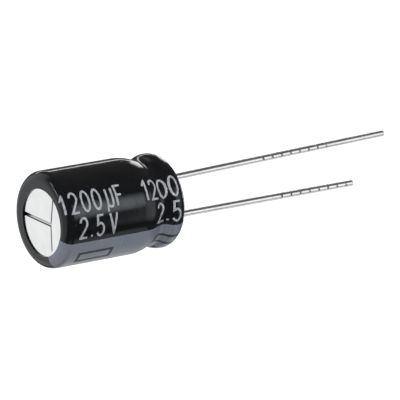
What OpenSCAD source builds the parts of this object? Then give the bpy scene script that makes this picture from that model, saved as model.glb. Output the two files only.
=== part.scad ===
// Radial-lead aluminium electrolytic capacitor with a crimped can and a shrink sleeve.
// Millimetres. The origin is on the can's axis at the seating plane, +Z points to the vent end,
// the leads run down -Z and the negative lead is on the +X side.

/* [Can] */
// Outer diameter of the aluminium can
can_d = 8; // [7.6:0.1:10]
// Height of the can from its curled rim to its vent face
can_h = 12.14; // [11:0.1:16]
// Wall thickness of the can
can_t = 0.3; // [0.2:0.02:0.36]
// Outer radius of the shoulder round the vent end
shoulder_r = 0.68; // [0.5:0.02:1]
// Radial step from the can's wall in to the crimped end
crimp_inset = 0.06; // [0:0.01:0.15]
// Outer radius of the rounded crimp, above and below its widest line
crimp_r = 1; // [0.9:0.01:1.1]
// Height of the straight stretch at the crimp's widest line
crimp_land = 0.02; // [0.02:0.02:0.4]
// Depth of the rolled groove
groove_depth = 0.48; // [0.4:0.01:0.6]
// Radius at the bottom of the rolled groove
groove_r = 1; // [0.8:0.05:1.2]
// Radius by which the wall runs out of the groove to its full diameter
runout_r = 4; // [3:0.1:4.5]
// Width of the flat rim that the can turns in under the bung
rim_w = 0.25; // [0.2:0.01:0.32]

/* [Vent score] */
// Direction of the long stroke of the score, from the X axis
vent_turn = 43.5; // [0:0.5:90]
// Distance from the axis to the place where the three strokes meet
vent_meet = 1.5; // [1:0.05:1.8]
// Distance from the axis to the far end of the long stroke
vent_reach = 3; // [2.4:0.05:3.1]
// Length of each short arm
vent_arm = 2.2; // [1.6:0.05:2.3]
// Angle by which each short arm leans away from a square cross stroke
vent_lean = 6; // [0:1:15]
// Width of the long stroke at the face
stem_score_w = 0.34; // [0.2:0.02:0.5]
// Depth of the long stroke
stem_score_depth = 0.14; // [0.05:0.01:0.17]
// Width of the short arms at the face
arm_score_w = 0.16; // [0.1:0.02:0.3]
// Depth of the short arms
arm_score_depth = 0.08; // [0.04:0.01:0.12]

/* [Sleeve] */
// Thickness of the shrink sleeve
sleeve_t = 0.12; // [0.08:0.01:0.16]
// Width of the flat ring that the sleeve turns in under the rim
seat_w = 0.16; // [0.1:0.01:0.2]
// Mean width of the lip that the sleeve turns in over the vent face
vent_lip_w = 0.46; // [0.4:0.02:0.8]
// How far the opening over the vent face shrank off centre
window_shift = 0.28; // [0:0.02:0.35]
// Direction in which it shrank off centre, from the X axis
window_turn = 21; // [0:1:359]

/* [Polarity print] */
// Angle round the can that the stripe covers
stripe_angle = 48; // [30:1:70]
// Direction of the stripe's middle, from the X axis
stripe_turn = 4; // [-10:1:10]
// Thickness of the printed ink
ink_t = 0.03; // [0.02:0.005:0.05]
// Height above the seat at which the stripe starts under the crimp
stripe_foot = 0.14; // [0.1:0.02:0.4]
// Angle round the can that a minus mark covers
mark_angle = 17.4; // [12:0.2:24]
// Direction of a minus mark's middle, from the X axis
mark_turn = 4; // [-10:1:10]
// Length of a minus mark along the can
mark_l = 3.43; // [2:0.01:4]
// Width of the bare line that outlines a minus mark
mark_line = 0.2; // [0.1:0.01:0.25]
// Height of the upper minus mark's middle above the seat
mark_z = 9.08; // [7:0.02:9.5]
// Distance along the can from one minus mark to the next
mark_pitch = 8; // [7:0.1:9]

/* [End seal] */
// Height of the rubber bung
seal_h = 3; // [2.6:0.05:3.4]

/* [Wound element] */
// Radial gap between the roll and the can's wall
roll_gap = 0.3; // [0.15:0.01:0.5]
// Diameter of the hole that the winding pin left
pin_bore_d = 1; // [0.8:0.05:1.3]
// Number of turns drawn at the roll's ends
turns = 7; // [5:1:9]
// Thickness of the paper between two foil edges
paper_t = 0.16; // [0.12:0.01:0.18]
// How far the foil edges are set back from the paper edges
foil_setback = 0.4; // [0.2:0.05:0.8]
// Thickness of the closing tape
tape_t = 0.05; // [0.03:0.01:0.08]
// Margin from each end of the roll to the tape
tape_margin = 1.2; // [0.8:0.1:2]

/* [Terminals] */
// Distance between the two leads at the seat
lead_pitch = 3.5; // [3.2:0.05:3.6]
// Diameter of a terminal's round stem in the bung
stem_d = 1.3; // [1.1:0.05:1.5]
// How far the stem stands up above the bung
stem_rise = 0.2; // [0.1:0.05:0.3]
// Height over which the stem flattens into the blade
flatten_h = 0.5; // [0.4:0.05:0.6]
// Free height between the bung and the roll
tab_space = 1; // [0.95:0.05:1.4]
// Width of the blade
blade_w = 2; // [1.6:0.1:2.4]
// Thickness of the blade
blade_t = 0.2; // [0.14:0.02:0.3]
// Length of the blade inside the roll
blade_l = 5.5; // [4:0.1:6]

/* [Leads] */
// Diameter of the tinned wire
lead_d = 0.55; // [0.45:0.05:0.7]
// Length of the negative lead below the seat
negative_l = 19.5; // [5:0.5:30]
// Length of the positive lead below the seat
positive_l = 25.3; // [5:0.5:35]
// Angle by which the positive lead is splayed outwards
splay = 1.8; // [0:0.1:4]
// How much wider than the wire the weld at its terminal is
weld_swell = 0.35; // [0.25:0.05:0.4]
// Height of the weld
weld_h = 0.35; // [0.2:0.05:0.4]

/* [Hidden] */
$fn = 96;

// Segments in one rounded stretch of the can's profile, and points in one turn of the roll
arc_steps = 14;
turn_steps = 20;

// Heights of the can's rim, its vent face and the inside of both
rim_z = sleeve_t;
vent_z = rim_z + can_h;
floor_z = rim_z + can_t;
roof_z = vent_z - can_t;

// Centres of the arcs of the can's outer surface, as [radius, height]
can_r = can_d / 2;
crimp_x = can_r - crimp_inset - crimp_r;
low_c = [crimp_x, rim_z + crimp_r];
high_c = [crimp_x, low_c.y + crimp_land];
groove_x = can_r - groove_depth + groove_r;
groove_c = [groove_x, high_c.y + sqrt((crimp_r + groove_r)^2 - (groove_x - crimp_x)^2)];
runout_x = can_r - runout_r;
runout_c = [runout_x, groove_c.y + sqrt((runout_r + groove_r)^2 - (groove_x - runout_x)^2)];
shoulder_c = [can_r - shoulder_r, vent_z - shoulder_r];

// Angles at which the arcs above and below the groove meet the groove's own arc
crimp_end = atan2(groove_c.y - high_c.y, groove_c.x - high_c.x);
runout_start = atan2(groove_c.y - runout_c.y, groove_c.x - runout_c.x);

// Height of the bung's top
seal_top = floor_z + seal_h;

// The roll stands on the bung's side of the can's inner corner, where its edge meets the corner
element_d = can_d - 2 * can_t - 2 * roll_gap;
roll_overhang = max(0, element_d / 2 - shoulder_c.x);
roll_top = shoulder_c.y + sqrt((shoulder_r - can_t)^2 - roll_overhang^2);
roll_z = seal_top + tab_space;
roll_h = roll_top - roll_z;

// Winding: the first and last radius of the drawn turns, and their pitch
first_r = pin_bore_d / 2 + paper_t;
last_r = element_d / 2 - 2 * paper_t;
turn_pitch = (last_r - first_r) / turns;

stem_x = lead_pitch / 2;
// No ink lies inside this radius
ink_core_r = can_r / 2;
// A cut that passes a face runs this far beyond it
past = 1;

// Points of an arc about a centre. An arc that starts where another ends leaves out its first.
function arc(centre, r, from, to, first = 0) = [
    for (i = [first:arc_steps])
        let (a = from + (to - from) * i / arc_steps) centre + r * [cos(a), sin(a)]
];

// The can's profile moved inwards by an inset, from its rim, round the crimp, through the groove
// and up over the shoulder. A negative inset gives the outside of what is wrapped round it.
function skin(inset) = concat(
    arc(low_c, crimp_r - inset, -90, 0),
    arc(high_c, crimp_r - inset, 0, crimp_end),
    arc(groove_c, groove_r + inset, crimp_end + 180, runout_start + 180, 1),
    arc(runout_c, runout_r - inset, runout_start, 0, 1),
    arc(shoulder_c, shoulder_r - inset, 0, 90)
);

function reversed(points) = [for (i = [len(points) - 1:-1:0]) points[i]];

// Half section of a skin between two insets, from radius rim_r at the rim to top_r at the vent
module skin_section(outer, inner, rim_r, top_r) {
    polygon(concat(
        [[rim_r, rim_z + outer]], skin(outer), [[top_r, vent_z - outer]],
        [[top_r, vent_z - inner]], reversed(skin(inner)), [[rim_r, rim_z + inner]]
    ));
}

// A block round the axis between two heights and two angles
module sector(z0, z1, a0, a1) {
    rotate([0, 0, a0])
        rotate_extrude(angle = a1 - a0)
            translate([ink_core_r, z0]) square([can_r, z1 - z0]);
}

// The off-centre opening that the sleeve and its print leave over the vent face
module vent_window() {
    rotate([0, 0, window_turn])
        translate([window_shift, 0, vent_z])
            cylinder(r = shoulder_c.x - vent_lip_w, h = past);
}

module sleeve() {
    color("#17181a")
    difference() {
        rotate_extrude() skin_section(-sleeve_t, 0, crimp_x - seat_w, 0);
        vent_window();
    }
}

// A minus mark's bare outline, as the block that is left out of the ink
module mark_outline(z) {
    line_angle = mark_line / can_r * 180 / PI;
    difference() {
        sector(z - mark_l / 2, z + mark_l / 2, -mark_angle / 2, mark_angle / 2);
        sector(
            z - mark_l / 2 + mark_line, z + mark_l / 2 - mark_line,
            -mark_angle / 2 + line_angle, mark_angle / 2 - line_angle
        );
    }
}

module polarity_stripe() {
    color("#777d8c")
    difference() {
        rotate([0, 0, stripe_turn - stripe_angle / 2])
            rotate_extrude(angle = stripe_angle)
                difference() {
                    skin_section(-sleeve_t - ink_t, -sleeve_t, ink_core_r, ink_core_r);
                    translate([0, -past]) square([can_d, past + stripe_foot]);
                }
        vent_window();
        rotate([0, 0, mark_turn])
            for (z = [mark_z, mark_z - mark_pitch]) mark_outline(z);
    }
}

// One straight V-shaped stroke of the vent score. Its sides run on above the face.
module score(length, width, depth) {
    rotate([90, 0, 90])
        linear_extrude(length)
            polygon([[-width, depth], [0, -depth], [width, depth]]);
}

module vent_score() {
    rotate([0, 0, vent_turn]) translate([0, 0, vent_z]) {
        translate([-vent_reach, 0, 0])
            score(vent_reach + vent_meet, stem_score_w, stem_score_depth);
        for (side = [-1, 1])
            translate([vent_meet, 0, 0])
                rotate([0, 0, side * (90 - vent_lean)])
                    score(vent_arm, arm_score_w, arm_score_depth);
    }
}

module can() {
    color("#d9dbde")
    difference() {
        rotate_extrude() skin_section(0, can_t, crimp_x - rim_w, 0);
        vent_score();
    }
}

// The bung fills the can's inside from the curled rim to above the groove
module end_seal() {
    color("#2c2b2a")
    difference() {
        rotate_extrude()
            intersection() {
                polygon(concat([[0, floor_z]], skin(can_t), [[0, roof_z]]));
                translate([0, floor_z]) square([can_r, seal_h]);
            }
        for (x = [-stem_x, stem_x])
            translate([x, 0, floor_z - past])
                cylinder(d = stem_d, h = seal_h + 2 * past);
    }
}

// Points of the winding's spiral, a step further out than its inner edge
function spiral(step_out) = [
    for (i = [0:turns * turn_steps])
        let (a = 360 * i / turn_steps, r = first_r + step_out + turn_pitch * i / turn_steps)
            r * [cos(a), sin(a)]
];

// The channel that the set-back foil edges leave between the paper edges
module foil_channel() {
    linear_extrude(foil_setback + past)
        polygon(concat(spiral(0), reversed(spiral(turn_pitch - paper_t))));
}

module wound_element() {
    color("#c8b89a")
    difference() {
        translate([0, 0, roll_z]) cylinder(d = element_d, h = roll_h);
        translate([0, 0, roll_z - past]) cylinder(d = pin_bore_d, h = roll_h + 2 * past);
        translate([0, 0, roll_top - foil_setback]) foil_channel();
        translate([0, 0, roll_z - past]) foil_channel();
        blade(-stem_x);
        blade(stem_x);
    }
}

module element_tape() {
    color("#d8c27a")
    translate([0, 0, roll_z + tape_margin])
        difference() {
            cylinder(d = element_d + 2 * tape_t, h = roll_h - 2 * tape_margin);
            translate([0, 0, -past]) cylinder(d = element_d, h = roll_h + 2 * past);
        }
}

// The flat end of a terminal, stitched between the roll's turns
module blade(x) {
    blade_z = seal_top + stem_rise + flatten_h;
    translate([x - blade_t / 2, -blade_w / 2, blade_z])
        cube([blade_t, blade_w, roll_z + blade_l - blade_z]);
}

// The stretch over which the round stem is pressed out into the blade
module flattened_neck(x) {
    translate([x, 0, seal_top + stem_rise])
        intersection() {
            rotate([90, 0, 0])
                linear_extrude(blade_w, center = true)
                    polygon([
                        [-stem_d / 2, 0], [stem_d / 2, 0],
                        [blade_t / 2, flatten_h], [-blade_t / 2, flatten_h]
                    ]);
            rotate([90, 0, 90])
                linear_extrude(stem_d, center = true)
                    polygon([
                        [-stem_d / 2, 0], [stem_d / 2, 0],
                        [blade_w / 2, flatten_h], [-blade_w / 2, flatten_h]
                    ]);
        }
}

module terminal(x) {
    color("#cfd2d6") {
        translate([x, 0, floor_z]) cylinder(d = stem_d, h = seal_h + stem_rise);
        flattened_neck(x);
        blade(x);
    }
}

module positive_tab() terminal(-stem_x);

module negative_tab() terminal(stem_x);

// A wire that starts inside its weld, leans out from there and ends a length below the seat
module lead(x, length, lean) {
    pivot_z = floor_z - weld_h / 2;
    reach = (pivot_z + length) / cos(lean);
    color("#c4c7cb") {
        translate([x, 0, floor_z - weld_h])
            cylinder(d1 = lead_d + weld_swell / 2, d2 = lead_d + weld_swell, h = weld_h);
        translate([x, 0, pivot_z])
            rotate([0, lean, 0])
                translate([0, 0, -reach]) cylinder(d = lead_d, h = reach);
    }
}

module positive_lead() lead(-stem_x, positive_l, splay);

module negative_lead() lead(stem_x, negative_l, 0);

sleeve();
polarity_stripe();
can();
end_seal();
wound_element();
element_tape();
positive_tab();
negative_tab();
positive_lead();
negative_lead();
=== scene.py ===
"""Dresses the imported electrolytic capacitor: finishes, printed rating, studio and camera.

Everything is in metres in the CAD's frame: the origin on the can's axis at the seating plane,
+Z to the vent end, the negative lead and the polarity stripe on the +X side.
"""

import math

import bmesh
import bpy
from mathutils import Matrix, Vector, noise
from mathutils.bvhtree import BVHTree


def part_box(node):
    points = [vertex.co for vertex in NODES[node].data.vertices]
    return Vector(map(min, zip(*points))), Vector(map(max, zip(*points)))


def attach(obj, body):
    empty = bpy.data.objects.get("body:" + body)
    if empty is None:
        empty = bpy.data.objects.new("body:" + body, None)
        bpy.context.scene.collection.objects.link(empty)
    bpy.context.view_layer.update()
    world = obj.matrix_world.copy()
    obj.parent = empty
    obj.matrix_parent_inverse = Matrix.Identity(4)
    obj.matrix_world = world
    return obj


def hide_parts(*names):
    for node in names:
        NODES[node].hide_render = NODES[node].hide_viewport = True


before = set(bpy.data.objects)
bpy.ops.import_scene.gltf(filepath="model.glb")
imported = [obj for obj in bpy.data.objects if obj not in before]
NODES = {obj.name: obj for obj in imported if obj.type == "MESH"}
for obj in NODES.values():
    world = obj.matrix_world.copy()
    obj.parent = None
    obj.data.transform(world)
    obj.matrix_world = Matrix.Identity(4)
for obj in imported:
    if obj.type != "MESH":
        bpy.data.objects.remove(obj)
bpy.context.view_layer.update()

MM = 0.001
SLEEVE_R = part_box("sleeve")[1].x
SLEEVE_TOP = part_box("sleeve")[1].z

# Camera, as in the photograph

IMAGE_SIDE = 400
FOCAL_PIXELS = 3506.7
SENSOR_MM = 36
# Where the camera stands, and the directions that are right and down in its picture
CAMERA_PLACE = Vector((109.60, 221.72, 165.54)) * MM
RIGHT = Vector((0.40544, 0.42026, -0.8118))
DOWN = Vector((0.83870, -0.52425, 0.14748))
FORWARD = RIGHT.cross(DOWN).normalized()


def make_camera():
    """The camera that was fitted to the photograph's outline."""
    data = bpy.data.cameras.new("camera")
    data.sensor_width = SENSOR_MM
    data.lens = SENSOR_MM * FOCAL_PIXELS / IMAGE_SIDE
    data.clip_start, data.clip_end = 0.01, 10
    camera = bpy.data.objects.new("camera", data)
    bpy.context.scene.collection.objects.link(camera)
    turn = Matrix((RIGHT, -DOWN, -FORWARD)).transposed().to_4x4()
    camera.matrix_world = Matrix.Translation(CAMERA_PLACE) @ turn
    bpy.context.scene.camera = camera


# Studio

# The floor's height, side and share of light that it scatters
FLOOR_Z = -0.45
FLOOR_SIDE = 8
FLOOR_ALBEDO = 0.8
# Added to the lit floor where the camera sees it, so that it is white and keeps its shadow
FLOOR_LIFT = 0.6
# The world lights surfaces at this level, and is white to the camera
WORLD_LEVEL = 0.68
# In reflections the floor and the camera's side of the studio are dim, and the rest is white
DIM_LEVEL = 0.12
# Between these heights of a direction's Z, reflections pass from the floor's level to white
GLOSS_HORIZON = (-0.15, 0.25)
# Between these, the dim side passes to the ceiling's white
GLOSS_CEILING = (0.87, 0.93)
# Middle of the studio's dim side, as azimuth and elevation, and the cosines of the angles from
# it within which it is fully dim, and past which the studio is white
DIM_SIDE = (88, 30)
DIM_COSINES = (0.35, 0.0)

# Softboxes: azimuth and elevation in degrees, distance, width, height, radiance (1 is white), and
# the share of the half width and half height that is at full radiance before it fades
SOFTBOXES = {
    "key_softbox": (103, 11, 0.42, 0.18, 0.28, 13.0, 0.4),
    "wall_softbox": (68, -30.3, 0.083, 0.062, 0.030, 3.3, 0.1),
    "lead_softbox": (50, -48.6, 0.0815, 0.094, 0.060, 1.2, 0.45),
    "back_softbox": (-154, -24, 0.36, 0.035, 0.50, 2.8, 0.7),
    "left_softbox": (176, 56, 0.36, 0.06, 0.20, 6.0, 0.5),
    "groove_softbox": (201, -46, 0.38, 0.22, 0.085, 3.2, 0.6),
    "low_softbox": (-50, -32, 0.50, 1.15, 0.34, 0.8, 0.75),
}
# The one that lights surfaces and isn't seen in reflections
UNREFLECTED = "key_softbox"


def shader_node(tree, kind, inputs=None, **settings):
    """A new node, with its settings, and its inputs set to numbers or linked to sockets."""
    made = tree.nodes.new(kind)
    for name, value in settings.items():
        setattr(made, name, value)
    for name, value in (inputs or {}).items():
        if isinstance(value, bpy.types.NodeSocket):
            tree.links.new(value, made.inputs[name])
        else:
            made.inputs[name].default_value = value
    return made


def math_node(tree, operation, *values, clamp=False):
    """The result of one operation on numbers or sockets."""
    made = shader_node(
        tree, "ShaderNodeMath", dict(enumerate(values)), operation=operation, use_clamp=clamp
    )
    return made.outputs[0]


def seen_directly(tree):
    """Whether a ray is the camera's or came through glass, and whether it is a reflection."""
    path = shader_node(tree, "ShaderNodeLightPath").outputs
    direct = math_node(tree, "ADD", path["Is Camera Ray"], path["Is Transmission Ray"], clamp=True)
    return direct, path["Is Glossy Ray"]


def aim(azimuth, elevation):
    """Unit vector away from the object. Azimuth is from +X towards +Y, in degrees."""
    a, e = math.radians(azimuth), math.radians(elevation)
    return Vector((math.cos(a) * math.cos(e), math.sin(a) * math.cos(e), math.sin(e)))


def between(tree, value, low, high, start=0.3, end=0.7):
    """value, which runs from start to end, as a number from low to high."""
    return shader_node(
        tree, "ShaderNodeMapRange",
        {"Value": value, "From Min": start, "From Max": end, "To Min": low, "To Max": high},
    ).outputs["Result"]


def fade(tree, value, zero_at, one_at):
    """A smooth step of value, 0 at one number and 1 at another."""
    return shader_node(
        tree, "ShaderNodeMapRange",
        {"Value": value, "From Min": zero_at, "From Max": one_at, "To Min": 0.0, "To Max": 1.0},
        interpolation_type="SMOOTHSTEP",
    ).outputs["Result"]


def make_world():
    """White to the camera, plain to surfaces, and in reflections a studio with a dim side."""
    world = bpy.data.worlds.new("studio")
    bpy.context.scene.world = world
    world.use_nodes = True
    tree = world.node_tree
    tree.nodes.clear()
    direct, glossy = seen_directly(tree)
    direction = shader_node(tree, "ShaderNodeTexCoord").outputs["Generated"]
    height = shader_node(tree, "ShaderNodeSeparateXYZ", {0: direction}).outputs["Z"]
    facing_dim = shader_node(
        tree, "ShaderNodeVectorMath", {0: direction, 1: aim(*DIM_SIDE)}, operation="DOT_PRODUCT"
    ).outputs["Value"]
    above = fade(tree, height, *GLOSS_HORIZON)
    bright = math_node(tree, "MULTIPLY", above, fade(tree, facing_dim, *DIM_COSINES))
    bright = math_node(tree, "MAXIMUM", bright, fade(tree, height, *GLOSS_CEILING))
    in_gloss = between(tree, bright, DIM_LEVEL, 1.0, 0, 1)
    level = shader_node(
        tree, "ShaderNodeMix", {"Factor": glossy, "A": WORLD_LEVEL, "B": in_gloss}
    ).outputs["Result"]
    level = shader_node(
        tree, "ShaderNodeMix", {"Factor": direct, "A": level, "B": 1.0}
    ).outputs["Result"]
    background = shader_node(
        tree, "ShaderNodeBackground", {"Color": (1, 1, 1, 1), "Strength": level}
    )
    shader_node(
        tree, "ShaderNodeOutputWorld", {"Surface": background.outputs["Background"]}
    )


def make_floor():
    """White to the camera, with the object's shadow, and dim in reflections."""
    bm = bmesh.new()
    bmesh.ops.create_grid(bm, x_segments=1, y_segments=1, size=FLOOR_SIDE / 2)
    data = bpy.data.meshes.new("floor")
    bm.to_mesh(data)
    bm.free()
    floor = bpy.data.objects.new("floor", data)
    floor.location.z = FLOOR_Z
    bpy.context.scene.collection.objects.link(floor)

    material = bpy.data.materials.new("floor")
    material.use_nodes = True
    tree = material.node_tree
    tree.nodes.clear()
    direct, glossy = seen_directly(tree)
    paper = shader_node(
        tree, "ShaderNodeBsdfDiffuse", {"Color": (FLOOR_ALBEDO,) * 3 + (1,)}
    ).outputs["BSDF"]
    lifted = math_node(tree, "MULTIPLY", direct, FLOOR_LIFT)
    lift = shader_node(
        tree, "ShaderNodeEmission", {"Color": (1, 1, 1, 1), "Strength": lifted}
    ).outputs["Emission"]
    lit = shader_node(tree, "ShaderNodeAddShader", {0: paper, 1: lift}).outputs["Shader"]
    dim = shader_node(
        tree, "ShaderNodeEmission", {"Color": (1, 1, 1, 1), "Strength": DIM_LEVEL}
    ).outputs["Emission"]
    surface = shader_node(tree, "ShaderNodeMixShader", {0: glossy, 1: lit, 2: dim})
    shader_node(tree, "ShaderNodeOutputMaterial", {"Surface": surface.outputs["Shader"]})
    data.materials.append(material)


def make_softboxes():
    """Cards that glow in the middle and fade to their edges, unseen by the camera."""
    middle = Vector((0, 0, SLEEVE_TOP / 2))
    for name, (azimuth, elevation, distance, width, height, radiance, core) in SOFTBOXES.items():
        away = aim(azimuth, elevation)
        bm = bmesh.new()
        bmesh.ops.create_grid(bm, x_segments=1, y_segments=1, size=1)
        bmesh.ops.scale(bm, verts=bm.verts, vec=(width / 2, height / 2, 1))
        data = bpy.data.meshes.new(name)
        bm.to_mesh(data)
        bm.free()
        card = bpy.data.objects.new(name, data)
        bpy.context.scene.collection.objects.link(card)
        card.location = middle + away * distance
        card.rotation_mode = "QUATERNION"
        card.rotation_quaternion = away.to_track_quat("Z", "Y")
        card.visible_camera = False
        card.visible_glossy = name != UNREFLECTED
        card.visible_shadow = False

        material = bpy.data.materials.new(name)
        material.use_nodes = True
        tree = material.node_tree
        tree.nodes.clear()
        place = shader_node(tree, "ShaderNodeTexCoord").outputs["Object"]
        share = shader_node(
            tree, "ShaderNodeVectorMath",
            {0: stretched(tree, place, (2 / width, 2 / height, 0))}, operation="ABSOLUTE",
        )
        sides = shader_node(tree, "ShaderNodeSeparateXYZ", {0: share.outputs["Vector"]}).outputs
        across, up = fade(tree, sides["X"], 1.0, core), fade(tree, sides["Y"], 1.0, core)
        glow = math_node(tree, "MULTIPLY", math_node(tree, "MULTIPLY", across, up), radiance)
        light = shader_node(tree, "ShaderNodeEmission", {"Color": (1, 1, 1, 1), "Strength": glow})
        shader_node(tree, "ShaderNodeOutputMaterial", {"Surface": light.outputs["Emission"]})
        data.materials.append(material)


# Materials

# Dust on the sleeve: cells in a millimetre, a speck's radius in cells, and the share with one
DUST_CELLS = 0.8
DUST_SIZE = 0.05
DUST_SHARE = 0.25
DUST_COLOUR = (0.16, 0.165, 0.17)
# The vent score lies below this height and inside this radius. Its lengths are in millimetres.
SCORE_TOP = 12.256
SCORE_REACH = 3.2
SCORE_ROUGHNESS = 0.25
SCORE_COLOUR = (0.60, 0.605, 0.615)
# Colour of the painted shade in the score
SCORE_PAINTED_SHADE_COLOUR = (0.05, 0.051, 0.053)
# Azimuth of the long stroke's far end, and the distances towards it over which painted shade grows
SCORE_FAR_END = 223.5
SCORE_END_PAINTED_SHADE = (1.35, 2.05)
# Azimuth faced by the long stroke's side with painted shade, and the heights where that shade
# fades in
SCORE_SHADED_SIDE = 133.5
SCORE_SHADED_EDGE = (12.17, 12.20)
# Cosines between which a face of the score starts to count as one that faces that way
SCORE_FACING = (0.25, 0.45)


def new_material(name, **constants):
    """A material with a Principled shader and a coordinate in millimetres."""
    material = bpy.data.materials.new(name)
    material.use_nodes = True
    tree = material.node_tree
    bsdf = tree.nodes["Principled BSDF"]
    for socket, value in constants.items():
        bsdf.inputs[socket.replace("_", " ")].default_value = value
    place = shader_node(tree, "ShaderNodeTexCoord").outputs["Object"]
    scale = shader_node(
        tree, "ShaderNodeVectorMath", {0: place, "Scale": 1 / MM}, operation="SCALE"
    )
    return material, tree, bsdf, scale.outputs["Vector"]


def noise_node(tree, place, scale, detail=3.0):
    """Noise with the given number of features in a millimetre."""
    return shader_node(
        tree, "ShaderNodeTexNoise", {"Vector": place, "Scale": scale, "Detail": detail}
    ).outputs["Fac"]


def stretched(tree, place, factors):
    """A coordinate with each axis times its own factor."""
    return shader_node(
        tree, "ShaderNodeVectorMath", {0: place, 1: factors}, operation="MULTIPLY"
    ).outputs["Vector"]


def mixed_colour(tree, factor, first, second):
    """The first colour where the factor is 0 and the second where it is 1."""
    mix = tree.nodes.new("ShaderNodeMix")
    mix.data_type = "RGBA"
    for index, value in ((0, factor), (6, first), (7, second)):
        if isinstance(value, bpy.types.NodeSocket):
            tree.links.new(value, mix.inputs[index])
        elif index:
            mix.inputs[index].default_value = tuple(value) + (1,)
        else:
            mix.inputs[index].default_value = value
    return mix.outputs[2]


def bump(tree, bsdf, height, distance_mm):
    """Relief of the given depth in the shader's normal."""
    made = shader_node(
        tree, "ShaderNodeBump", {"Height": height, "Distance": distance_mm * MM}
    )
    tree.links.new(made.outputs["Normal"], bsdf.inputs["Normal"])


def shrink_film(name, colour, worn_colour, roughness, **constants):
    """Glossy shrink film: slightly uneven gloss, fine rings round the tube, a soft orange peel."""
    material, tree, bsdf, place = new_material(name, **constants)
    drawn = noise_node(tree, stretched(tree, place, (0.7, 0.7, 5)), 1.0)
    peel = noise_node(tree, place, 1.6, 2.0)
    cloud = noise_node(tree, place, 0.35)
    film = mixed_colour(tree, between(tree, cloud, 0, 1), colour, worn_colour)
    tree.links.new(film, bsdf.inputs["Base Color"])
    tree.links.new(between(tree, drawn, *roughness), bsdf.inputs["Roughness"])
    height = math_node(tree, "ADD", math_node(tree, "MULTIPLY", drawn, 0.25), peel)
    bump(tree, bsdf, height, 0.006)
    return material, tree, bsdf, place, film


def sleeve_material():
    """Black film with a few specks of dust."""
    material, tree, bsdf, place, film = shrink_film(
        "black_sleeve", (0.0035, 0.0037, 0.004), (0.006, 0.006, 0.0065), (0.04, 0.18),
        Specular_IOR_Level=0.37, Specular_Tint=(0.85, 0.92, 1.0, 1.0),
    )
    cells = shader_node(tree, "ShaderNodeTexVoronoi", {"Vector": place, "Scale": DUST_CELLS})
    chosen = shader_node(tree, "ShaderNodeSeparateColor", {0: cells.outputs["Color"]})
    near = math_node(tree, "LESS_THAN", cells.outputs["Distance"], DUST_SIZE)
    dusty = math_node(tree, "LESS_THAN", chosen.outputs["Red"], DUST_SHARE)
    speck = math_node(tree, "MULTIPLY", near, dusty)
    tree.links.new(mixed_colour(tree, speck, film, DUST_COLOUR), bsdf.inputs["Base Color"])
    return material


def stripe_material():
    """The blue-grey ink of the stripe, under the film's gloss."""
    return shrink_film(
        "stripe_ink", (0.150, 0.171, 0.218), (0.178, 0.197, 0.240), (0.20, 0.28),
        Specular_IOR_Level=0.4,
    )[0]


def print_material():
    """The pale ink of the rating, a little thin in places."""
    material, tree, bsdf, place = new_material("rating_ink", Specular_IOR_Level=0.4)
    grain = noise_node(tree, place, 8.0)
    cloud = noise_node(tree, place, 2.5)
    thin = math_node(
        tree, "MULTIPLY", between(tree, grain, 0.2, 1.0), between(tree, cloud, 0.8, 1.0)
    )
    tree.links.new(mixed_colour(tree, thin, (0.13, 0.14, 0.155), (0.51, 0.53, 0.57)),
                   bsdf.inputs["Base Color"])
    tree.links.new(between(tree, grain, 0.3, 0.5), bsdf.inputs["Roughness"])
    return material


def outline_material():
    """The dark ink round the minus marks."""
    material, tree, bsdf, place = new_material("outline_ink", Specular_IOR_Level=0.3)
    cloud = noise_node(tree, place, 6.0)
    tree.links.new(mixed_colour(tree, between(tree, cloud, 0, 1), (0.014, 0.015, 0.019),
                                (0.030, 0.032, 0.038)), bsdf.inputs["Base Color"])
    tree.links.new(between(tree, cloud, 0.35, 0.5), bsdf.inputs["Roughness"])
    return material


def metal(name, colour, dull_colour, roughness, grain_factors, bump_mm):
    """Bare metal with a grain along one direction and cloudy gloss."""
    material, tree, bsdf, place = new_material(name, Metallic=1.0)
    grain = noise_node(tree, stretched(tree, place, grain_factors), 1.0)
    cloud = noise_node(tree, place, 0.8)
    tree.links.new(mixed_colour(tree, between(tree, cloud, 0, 1), colour, dull_colour),
                   bsdf.inputs["Base Color"])
    tree.links.new(between(tree, grain, *roughness), bsdf.inputs["Roughness"])
    bump(tree, bsdf, grain, bump_mm)
    return material, tree, bsdf, place


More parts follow.
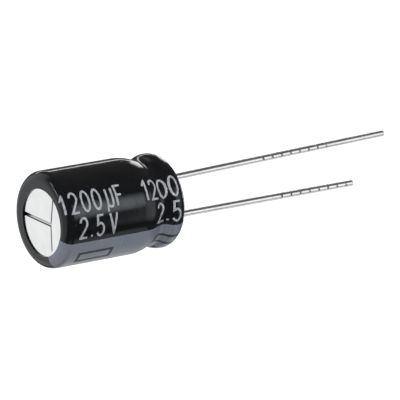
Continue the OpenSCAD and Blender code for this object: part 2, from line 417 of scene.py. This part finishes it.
def can_material():
    """Bright aluminium, duller in the score, with painted shade at its far end and along one edge.
    """
    material, tree, bsdf, place = metal(
        "can_aluminium", (0.84, 0.845, 0.85), (0.78, 0.785, 0.79), (0.10, 0.20),
        (14, 0.7, 14), 0.0008,
    )
    at = shader_node(tree, "ShaderNodeSeparateXYZ", {0: place}).outputs
    flat = stretched(tree, place, (1, 1, 0))
    reach = shader_node(tree, "ShaderNodeVectorMath", {0: flat}, operation="LENGTH")
    below = math_node(tree, "LESS_THAN", at["Z"], SCORE_TOP)
    inside = math_node(tree, "LESS_THAN", reach.outputs["Value"], SCORE_REACH)
    pressed = math_node(tree, "MULTIPLY", below, inside)
    along = shader_node(
        tree, "ShaderNodeVectorMath", {0: place, 1: aim(SCORE_FAR_END, 0)}, operation="DOT_PRODUCT"
    ).outputs["Value"]
    normal = shader_node(tree, "ShaderNodeNewGeometry").outputs["True Normal"]
    steep = shader_node(
        tree, "ShaderNodeVectorMath", {0: normal, 1: aim(SCORE_SHADED_SIDE, 0)},
        operation="DOT_PRODUCT",
    ).outputs["Value"]
    # Painted shade in the score: on its faces that turn to one side near the top, and towards the
    # long stroke's far end
    edge = math_node(
        tree, "MULTIPLY", fade(tree, steep, *SCORE_FACING), fade(tree, at["Z"], *SCORE_SHADED_EDGE)
    )
    dark = math_node(tree, "MAXIMUM", fade(tree, along, *SCORE_END_PAINTED_SHADE), edge)
    score = mixed_colour(tree, dark, SCORE_COLOUR, SCORE_PAINTED_SHADE_COLOUR)
    bright = bsdf.inputs["Base Color"].links[0].from_socket
    gloss = bsdf.inputs["Roughness"].links[0].from_socket
    tree.links.new(mixed_colour(tree, pressed, bright, score), bsdf.inputs["Base Color"])
    roughness = shader_node(
        tree, "ShaderNodeMix", {"Factor": pressed, "A": gloss, "B": SCORE_ROUGHNESS}
    ).outputs["Result"]
    tree.links.new(roughness, bsdf.inputs["Roughness"])
    return material


def lead_material():
    """Bright tin plating, drawn along the wire."""
    return metal("tinned_wire", (0.86, 0.865, 0.87), (0.76, 0.765, 0.775), (0.20, 0.30),
                 (9, 9, 0.4), 0.002)[0]


def terminal_material():
    """Pressed aluminium, less bright than the can."""
    return metal("terminal_aluminium", (0.85, 0.855, 0.86), (0.74, 0.745, 0.75), (0.28, 0.42),
                 (8, 8, 1), 0.004)[0]


def rubber_material():
    """Butyl rubber: matt, mottled, with the fine pits of its mould."""
    material, tree, bsdf, place = new_material("rubber", Specular_IOR_Level=0.35)
    pits = noise_node(tree, place, 9.0)
    cloud = noise_node(tree, place, 1.2)
    tree.links.new(mixed_colour(tree, between(tree, cloud, 0, 1), (0.018, 0.017, 0.016),
                                (0.034, 0.032, 0.030)), bsdf.inputs["Base Color"])
    tree.links.new(between(tree, pits, 0.55, 0.75), bsdf.inputs["Roughness"])
    bump(tree, bsdf, pits, 0.02)
    return material


def paper_material():
    """Separator paper soaked with electrolyte: fibres across, a damp sheen."""
    material, tree, bsdf, place = new_material("soaked_paper", Specular_IOR_Level=0.5)
    fibre = noise_node(tree, stretched(tree, place, (3, 3, 12)), 1.0, 5.0)
    cloud = noise_node(tree, place, 0.9)
    tree.links.new(mixed_colour(tree, between(tree, cloud, 0, 1), (0.56, 0.47, 0.33),
                                (0.46, 0.37, 0.25)), bsdf.inputs["Base Color"])
    tree.links.new(between(tree, fibre, 0.4, 0.65), bsdf.inputs["Roughness"])
    bump(tree, bsdf, fibre, 0.01)
    return material


def tape_material():
    """Thin amber polyester tape."""
    material, tree, bsdf, place = new_material("amber_tape", Specular_IOR_Level=0.5)
    wrinkle = noise_node(tree, stretched(tree, place, (1, 1, 4)), 1.0)
    tree.links.new(mixed_colour(tree, between(tree, wrinkle, 0, 1), (0.62, 0.46, 0.16),
                                (0.52, 0.36, 0.11)), bsdf.inputs["Base Color"])
    tree.links.new(between(tree, wrinkle, 0.15, 0.3), bsdf.inputs["Roughness"])
    bump(tree, bsdf, wrinkle, 0.01)
    return material


def dress_nodes():
    """Gives each CAD node that stays its finish."""
    finishes = {
        sleeve_material(): ["sleeve"],
        stripe_material(): ["polarity_stripe"],
        can_material(): ["can"],
        rubber_material(): ["end_seal"],
        paper_material(): ["wound_element"],
        tape_material(): ["element_tape"],
        terminal_material(): ["positive_tab", "negative_tab"],
    }
    for material, names in finishes.items():
        for name in names:
            data = NODES[name].data
            data.materials.clear()
            data.materials.append(material)


# Leads

WIRE_R = 0.275 * MM
WIRE_SIDES = 40
# Distance from the axis to a lead's weld, the weld's height, and its lower and upper radius
WELD_X = 1.75 * MM
WELD_H = 0.35 * MM
WELD_R = (0.3625 * MM, 0.45 * MM)
# Angle from the axis, outwards, in degrees
LEANS = {"positive_lead": 1.8, "negative_lead": 0.0}
# Chamfer of the sheared tip
TIP_CHAMFER = 0.03 * MM
# Nicks that the feeding jaws left across the wires: the first one's distance from the weld, and
# their pitch and number, depth, half width, and how much shallower each is than the last
NICK_START = 11.9 * MM
NICK_PITCH = 1.01 * MM
NICKS = 8
NICK_DEPTH = 0.07 * MM
NICK_HALF = 0.10 * MM
NICK_WEAR = 0.09
# Where round rings of the wire stand on both sides of a nick, in half widths from its middle
NICK_GUARD = 1.3
# The direction that the nicks face, and how far they reach round from it before and as they fade
NICK_TURN = 88
NICK_SPREAD = (54, 74)
# A face whose middle is nearer the wire's axis than this share of its radius is a nick's side
NICKED = 0.985


def nick_depth(at, azimuth):
    """How deep the wire is nicked at a distance from the weld and an azimuth in degrees."""
    number = min(NICKS - 1, max(0, round((at - NICK_START) / NICK_PITCH)))
    off = abs(at - NICK_START - number * NICK_PITCH) / NICK_HALF
    off_side = abs((azimuth - NICK_TURN + 180) % 360 - 180)
    fading = (NICK_SPREAD[1] - off_side) / (NICK_SPREAD[1] - NICK_SPREAD[0])
    return NICK_DEPTH * (1 - NICK_WEAR * number) * max(0, 1 - off) * min(1, max(0, fading))


def add_turned(bm, rings):
    """A closed solid through rings of points, with flat ends."""
    made = [[bm.verts.new(p) for p in ring] for ring in rings]
    for a, b in zip(made, made[1:]):
        for i in range(len(a)):
            j = (i + 1) % len(a)
            bm.faces.new((a[i], a[j], b[j], b[i])).smooth = True
    bm.faces.new(made[0])
    bm.faces.new(made[-1])


def make_lead(name, material):
    """The tinned wire with its weld and nicks, in the place of the CAD's plain wire."""
    low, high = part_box(name)
    side = math.copysign(1, low.x + high.x)
    lean = math.radians(LEANS[name])
    start = Vector((side * WELD_X, 0, high.z - WELD_H / 2))
    along = Vector((side * math.sin(lean), 0, -math.cos(lean)))
    across = Vector((0, 1, 0)).cross(-along)
    reach = (start.z - low.z - WIRE_R * math.sin(lean)) / math.cos(lean)

    def ring(centre, right, radius_at):
        angles = [360 * i / WIRE_SIDES for i in range(WIRE_SIDES)]
        spokes = [
            right * math.cos(math.radians(a)) + Vector((0, 1, 0)) * math.sin(math.radians(a))
            for a in angles
        ]
        return [centre + spoke * radius_at(a) for spoke, a in zip(spokes, angles)]

    middles = [NICK_START + i * NICK_PITCH for i in range(NICKS)]
    stops = [m + NICK_HALF * f for m in middles for f in (-NICK_GUARD, -1, 0, 1, NICK_GUARD)]
    stops = [s for s in stops if s < reach - 3 * TIP_CHAMFER] + [reach - 2 * TIP_CHAMFER]
    rings = [
        ring(start + along * s, across, lambda a, s=s: WIRE_R - nick_depth(s, a))
        for s in [0, TIP_CHAMFER] + stops + [reach - TIP_CHAMFER]
    ]
    rings.append(ring(start + along * reach, across, lambda a: WIRE_R - TIP_CHAMFER))
    bm = bmesh.new()
    add_turned(bm, rings)
    for face in bm.faces:
        off = face.calc_center_median() - start
        if (off - along * off.dot(along)).length < NICKED * WIRE_R:
            face.smooth = False
    weld_z = (high.z - WELD_H, high.z)
    add_turned(bm, [
        ring(Vector((start.x, 0, z)), Vector((1, 0, 0)), lambda a, r=r: r)
        for z, r in zip(weld_z, WELD_R)
    ])
    bmesh.ops.recalc_face_normals(bm, faces=bm.faces)
    data = bpy.data.meshes.new(name + "_wire")
    bm.to_mesh(data)
    bm.free()
    wire = bpy.data.objects.new(name + "_wire", data)
    bpy.context.scene.collection.objects.link(wire)
    data.materials.append(material)
    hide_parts(name)
    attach(wire, "root")


# Printed rating and minus marks

# The rating reads from the vent end down to the leads, with its letters' tops on the +angle
# side. Lengths along the sleeve start where the straight wall meets the vent end's shoulder,
# which has this radius.
SHOULDER_R = 0.80 * MM
# Width of a stroke, a digit's width and a letter's height
STROKE = 0.19 * MM
DIGIT_W = 0.70 * MM
LETTER_H = 1.72 * MM
# The rating's two copies: where each starts along the sleeve, and how much it is spread
COPIES = ((0.0, 1.0), (8.09 * MM, 0.89))
# How far the ink starts off the sleeve, and its thickness
INK_LIFT = 0.004 * MM
INK_THICKNESS = 0.008 * MM
# Longest step along a stroke, the least mitre, and its edges' unevenness: size and share of width
STEP = 0.07 * MM
MITRE_LIMIT = 0.6
EDGE_GRAIN = 0.09 * MM
EDGE_ROUGHNESS = 0.16
# The minus marks' dark outlines, on the stripe's ink: the line's width, its lift off the sleeve,
# and its corners as a height above the seat in millimetres and an angle round the can
OUTLINE = 0.27 * MM
OUTLINE_LIFT = 0.032 * MM
MARKS = [
    ([(10.70, -3.3), (10.70, 11.3), (7.46, 11.3), (7.46, -3.3)], True),
    ([(0.45, -3.3), (2.70, -3.3), (2.70, 11.3), (0.45, 11.3)], False),
]
# The row's baseline as an angle round the can, and each glyph's middle along it in millimetres
ROWS = [
    (65.0, [("1", -0.71), ("2", 0.26), ("0", 1.40), ("0", 2.50), ("mu", 3.78), ("F", 4.74)]),
    (34.0, [("2", 0.86), ("dot", 1.68), ("5", 2.53), ("V", 3.86)]),
]


def arc(centre, radii, start, end, steps=14):
    """Points of an elliptical arc, between two angles in degrees."""
    angles = [math.radians(start + (end - start) * i / steps) for i in range(steps + 1)]
    return [
        (centre[0] + radii[0] * math.cos(a), centre[1] + radii[1] * math.sin(a)) for a in angles
    ]


def glyph(name):
    """Pen strokes of a glyph, as (points, closed), in a box one unit wide and one high."""
    if name == "0":
        return [(arc((0.5, 0.5), (0.5, 0.5), 90, 450, 36)[:-1], True)]
    if name == "1":
        return [([(0.12, 0.74), (0.56, 1.0), (0.56, 0.0)], False)]
    if name == "2":
        top = arc((0.5, 0.72), (0.46, 0.28), 170, -38)
        return [(top + [(0.04, 0.0), (1.0, 0.0)], False)]
    if name == "5":
        bowl = arc((0.46, 0.31), (0.5, 0.31), 128, -150, 20)
        return [([(0.92, 1.0), (0.16, 1.0), (0.10, 0.55)] + bowl, False)]
    if name == "mu":
        cup = arc((0.52, 0.30), (0.38, 0.30), 180, 360)
        return [
            ([(0.0, -0.22), (0.14, 0.30), (0.14, 0.92)], False),
            ([(0.20, 0.16)] + cup[3:] + [(0.90, 0.92)], False),
        ]
    if name == "F":
        return [
            ([(0.1, 0.0), (0.1, 1.0), (0.95, 1.0)], False),
            ([(0.2, 0.53), (0.8, 0.53)], False),
        ]
    if name == "V":
        return [([(0.02, 1.0), (0.5, 0.0), (0.98, 1.0)], False)]
    return [([(0.5, 0.0), (0.5, 0.10)], False)]


def in_steps(points, closed):
    """The path with points no further apart than STEP."""
    ends = points + points[:1] if closed else points
    path = []
    for a, b in zip(ends, ends[1:]):
        count = max(1, math.ceil((b - a).length / STEP))
        path += [a.lerp(b, i / count) for i in range(count)]
    return path if closed else path + [ends[-1]]


def ribbon_sides(path, closed, width):
    """The left and right edge of a stroke along the path, mitred, and a little uneven."""
    sides = []
    count = len(path)
    for i, point in enumerate(path):
        before = path[i - 1] if closed or i else None
        after = path[(i + 1) % count] if closed or i < count - 1 else None
        ahead = (after - point).normalized() if after else (point - before).normalized()
        behind = (point - before).normalized() if before else ahead
        across = Vector((-(ahead + behind).y, (ahead + behind).x)).normalized()
        mitre = 1 / max(MITRE_LIMIT, across.dot(Vector((-ahead.y, ahead.x))))
        rough = noise.noise(Vector((point.x, point.y, i)) / EDGE_GRAIN) * EDGE_ROUGHNESS
        half = width / 2 * mitre * (1 + rough)
        sides.append((point + across * half, point, point - across * half))
    return sides


def sleeve_surface(lift):
    """A function from a place on the print, along and up in metres, to a point off the sleeve."""
    tree = BVHTree.FromObject(NODES["sleeve"], bpy.context.evaluated_depsgraph_get())
    wall_top = SLEEVE_TOP - SHOULDER_R

    def on_sleeve(along, up):
        angle = up / SLEEVE_R
        outward = Vector((math.cos(angle), math.sin(angle), 0))
        if along < 0:
            lean = -along / SHOULDER_R
            target = outward * (SLEEVE_R - SHOULDER_R) + Vector((0, 0, wall_top))
            outward = outward * math.cos(lean) + Vector((0, 0, math.sin(lean)))
        else:
            target = Vector((0, 0, wall_top - along))
        hit, normal, _, _ = tree.ray_cast(target + outward * 2 * SLEEVE_R, -outward)
        return hit + normal * lift if hit else None

    return on_sleeve


def add_strip(bm, rows, closed):
    """Faces between rows of points, and from the last to the first if it is closed."""
    if len(rows) < 2:
        return
    made = [[bm.verts.new(p) for p in row] for row in rows]
    pairs = list(zip(made, made[1:])) + ([(made[-1], made[0])] if closed else [])
    for a, b in pairs:
        for i in range(len(a) - 1):
            bm.faces.new((a[i], a[i + 1], b[i + 1], b[i]))


def add_stroke(bm, on_sleeve, points, closed, width):
    """One stroke, laid on the sleeve."""
    rows = [
        [on_sleeve(p.x, p.y) for p in side]
        for side in ribbon_sides(in_steps(points, closed), closed, width)
    ]
    add_strip(bm, [row for row in rows if all(row)], closed)


def make_print(name, bm, material):
    """A piece of ink from flat strokes, thickened outwards."""
    data = bpy.data.meshes.new(name)
    bm.to_mesh(data)
    bm.free()
    made = bpy.data.objects.new(name, data)
    bpy.context.scene.collection.objects.link(made)
    thick = made.modifiers.new("ink", "SOLIDIFY")
    thick.thickness = INK_THICKNESS
    thick.offset = 1
    data.materials.append(material)
    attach(made, "root")


def make_mark_outlines():
    """The dark outlines of the stripe's minus marks."""
    on_sleeve = sleeve_surface(OUTLINE_LIFT)
    bm = bmesh.new()
    for corners, closed in MARKS:
        path = [
            Vector((SLEEVE_TOP - SHOULDER_R - z * MM, math.radians(angle) * SLEEVE_R))
            for z, angle in corners
        ]
        add_stroke(bm, on_sleeve, path, closed, OUTLINE)
    make_print("minus_outlines", bm, outline_material())


def make_rating():
    """The generic rating, printed twice along the sleeve."""
    on_sleeve = sleeve_surface(INK_LIFT)
    bm = bmesh.new()
    for baseline, glyphs in ROWS:
        up0 = math.radians(baseline) * SLEEVE_R
        for name, middle in glyphs:
            for start, spread in COPIES:
                along0 = start + middle * MM * spread - DIGIT_W / 2
                for points, closed in glyph(name):
                    flat = [Vector((along0 + x * DIGIT_W, up0 + y * LETTER_H)) for x, y in points]
                    add_stroke(bm, on_sleeve, flat, closed, STROKE)
    make_print("rating_print", bm, print_material())


# The scene

bpy.context.scene.view_settings.view_transform = "Standard"
make_camera()
make_world()
make_floor()
make_softboxes()
dress_nodes()
tinned_wire = lead_material()
for lead_name in LEANS:
    make_lead(lead_name, tinned_wire)
make_rating()
make_mark_outlines()
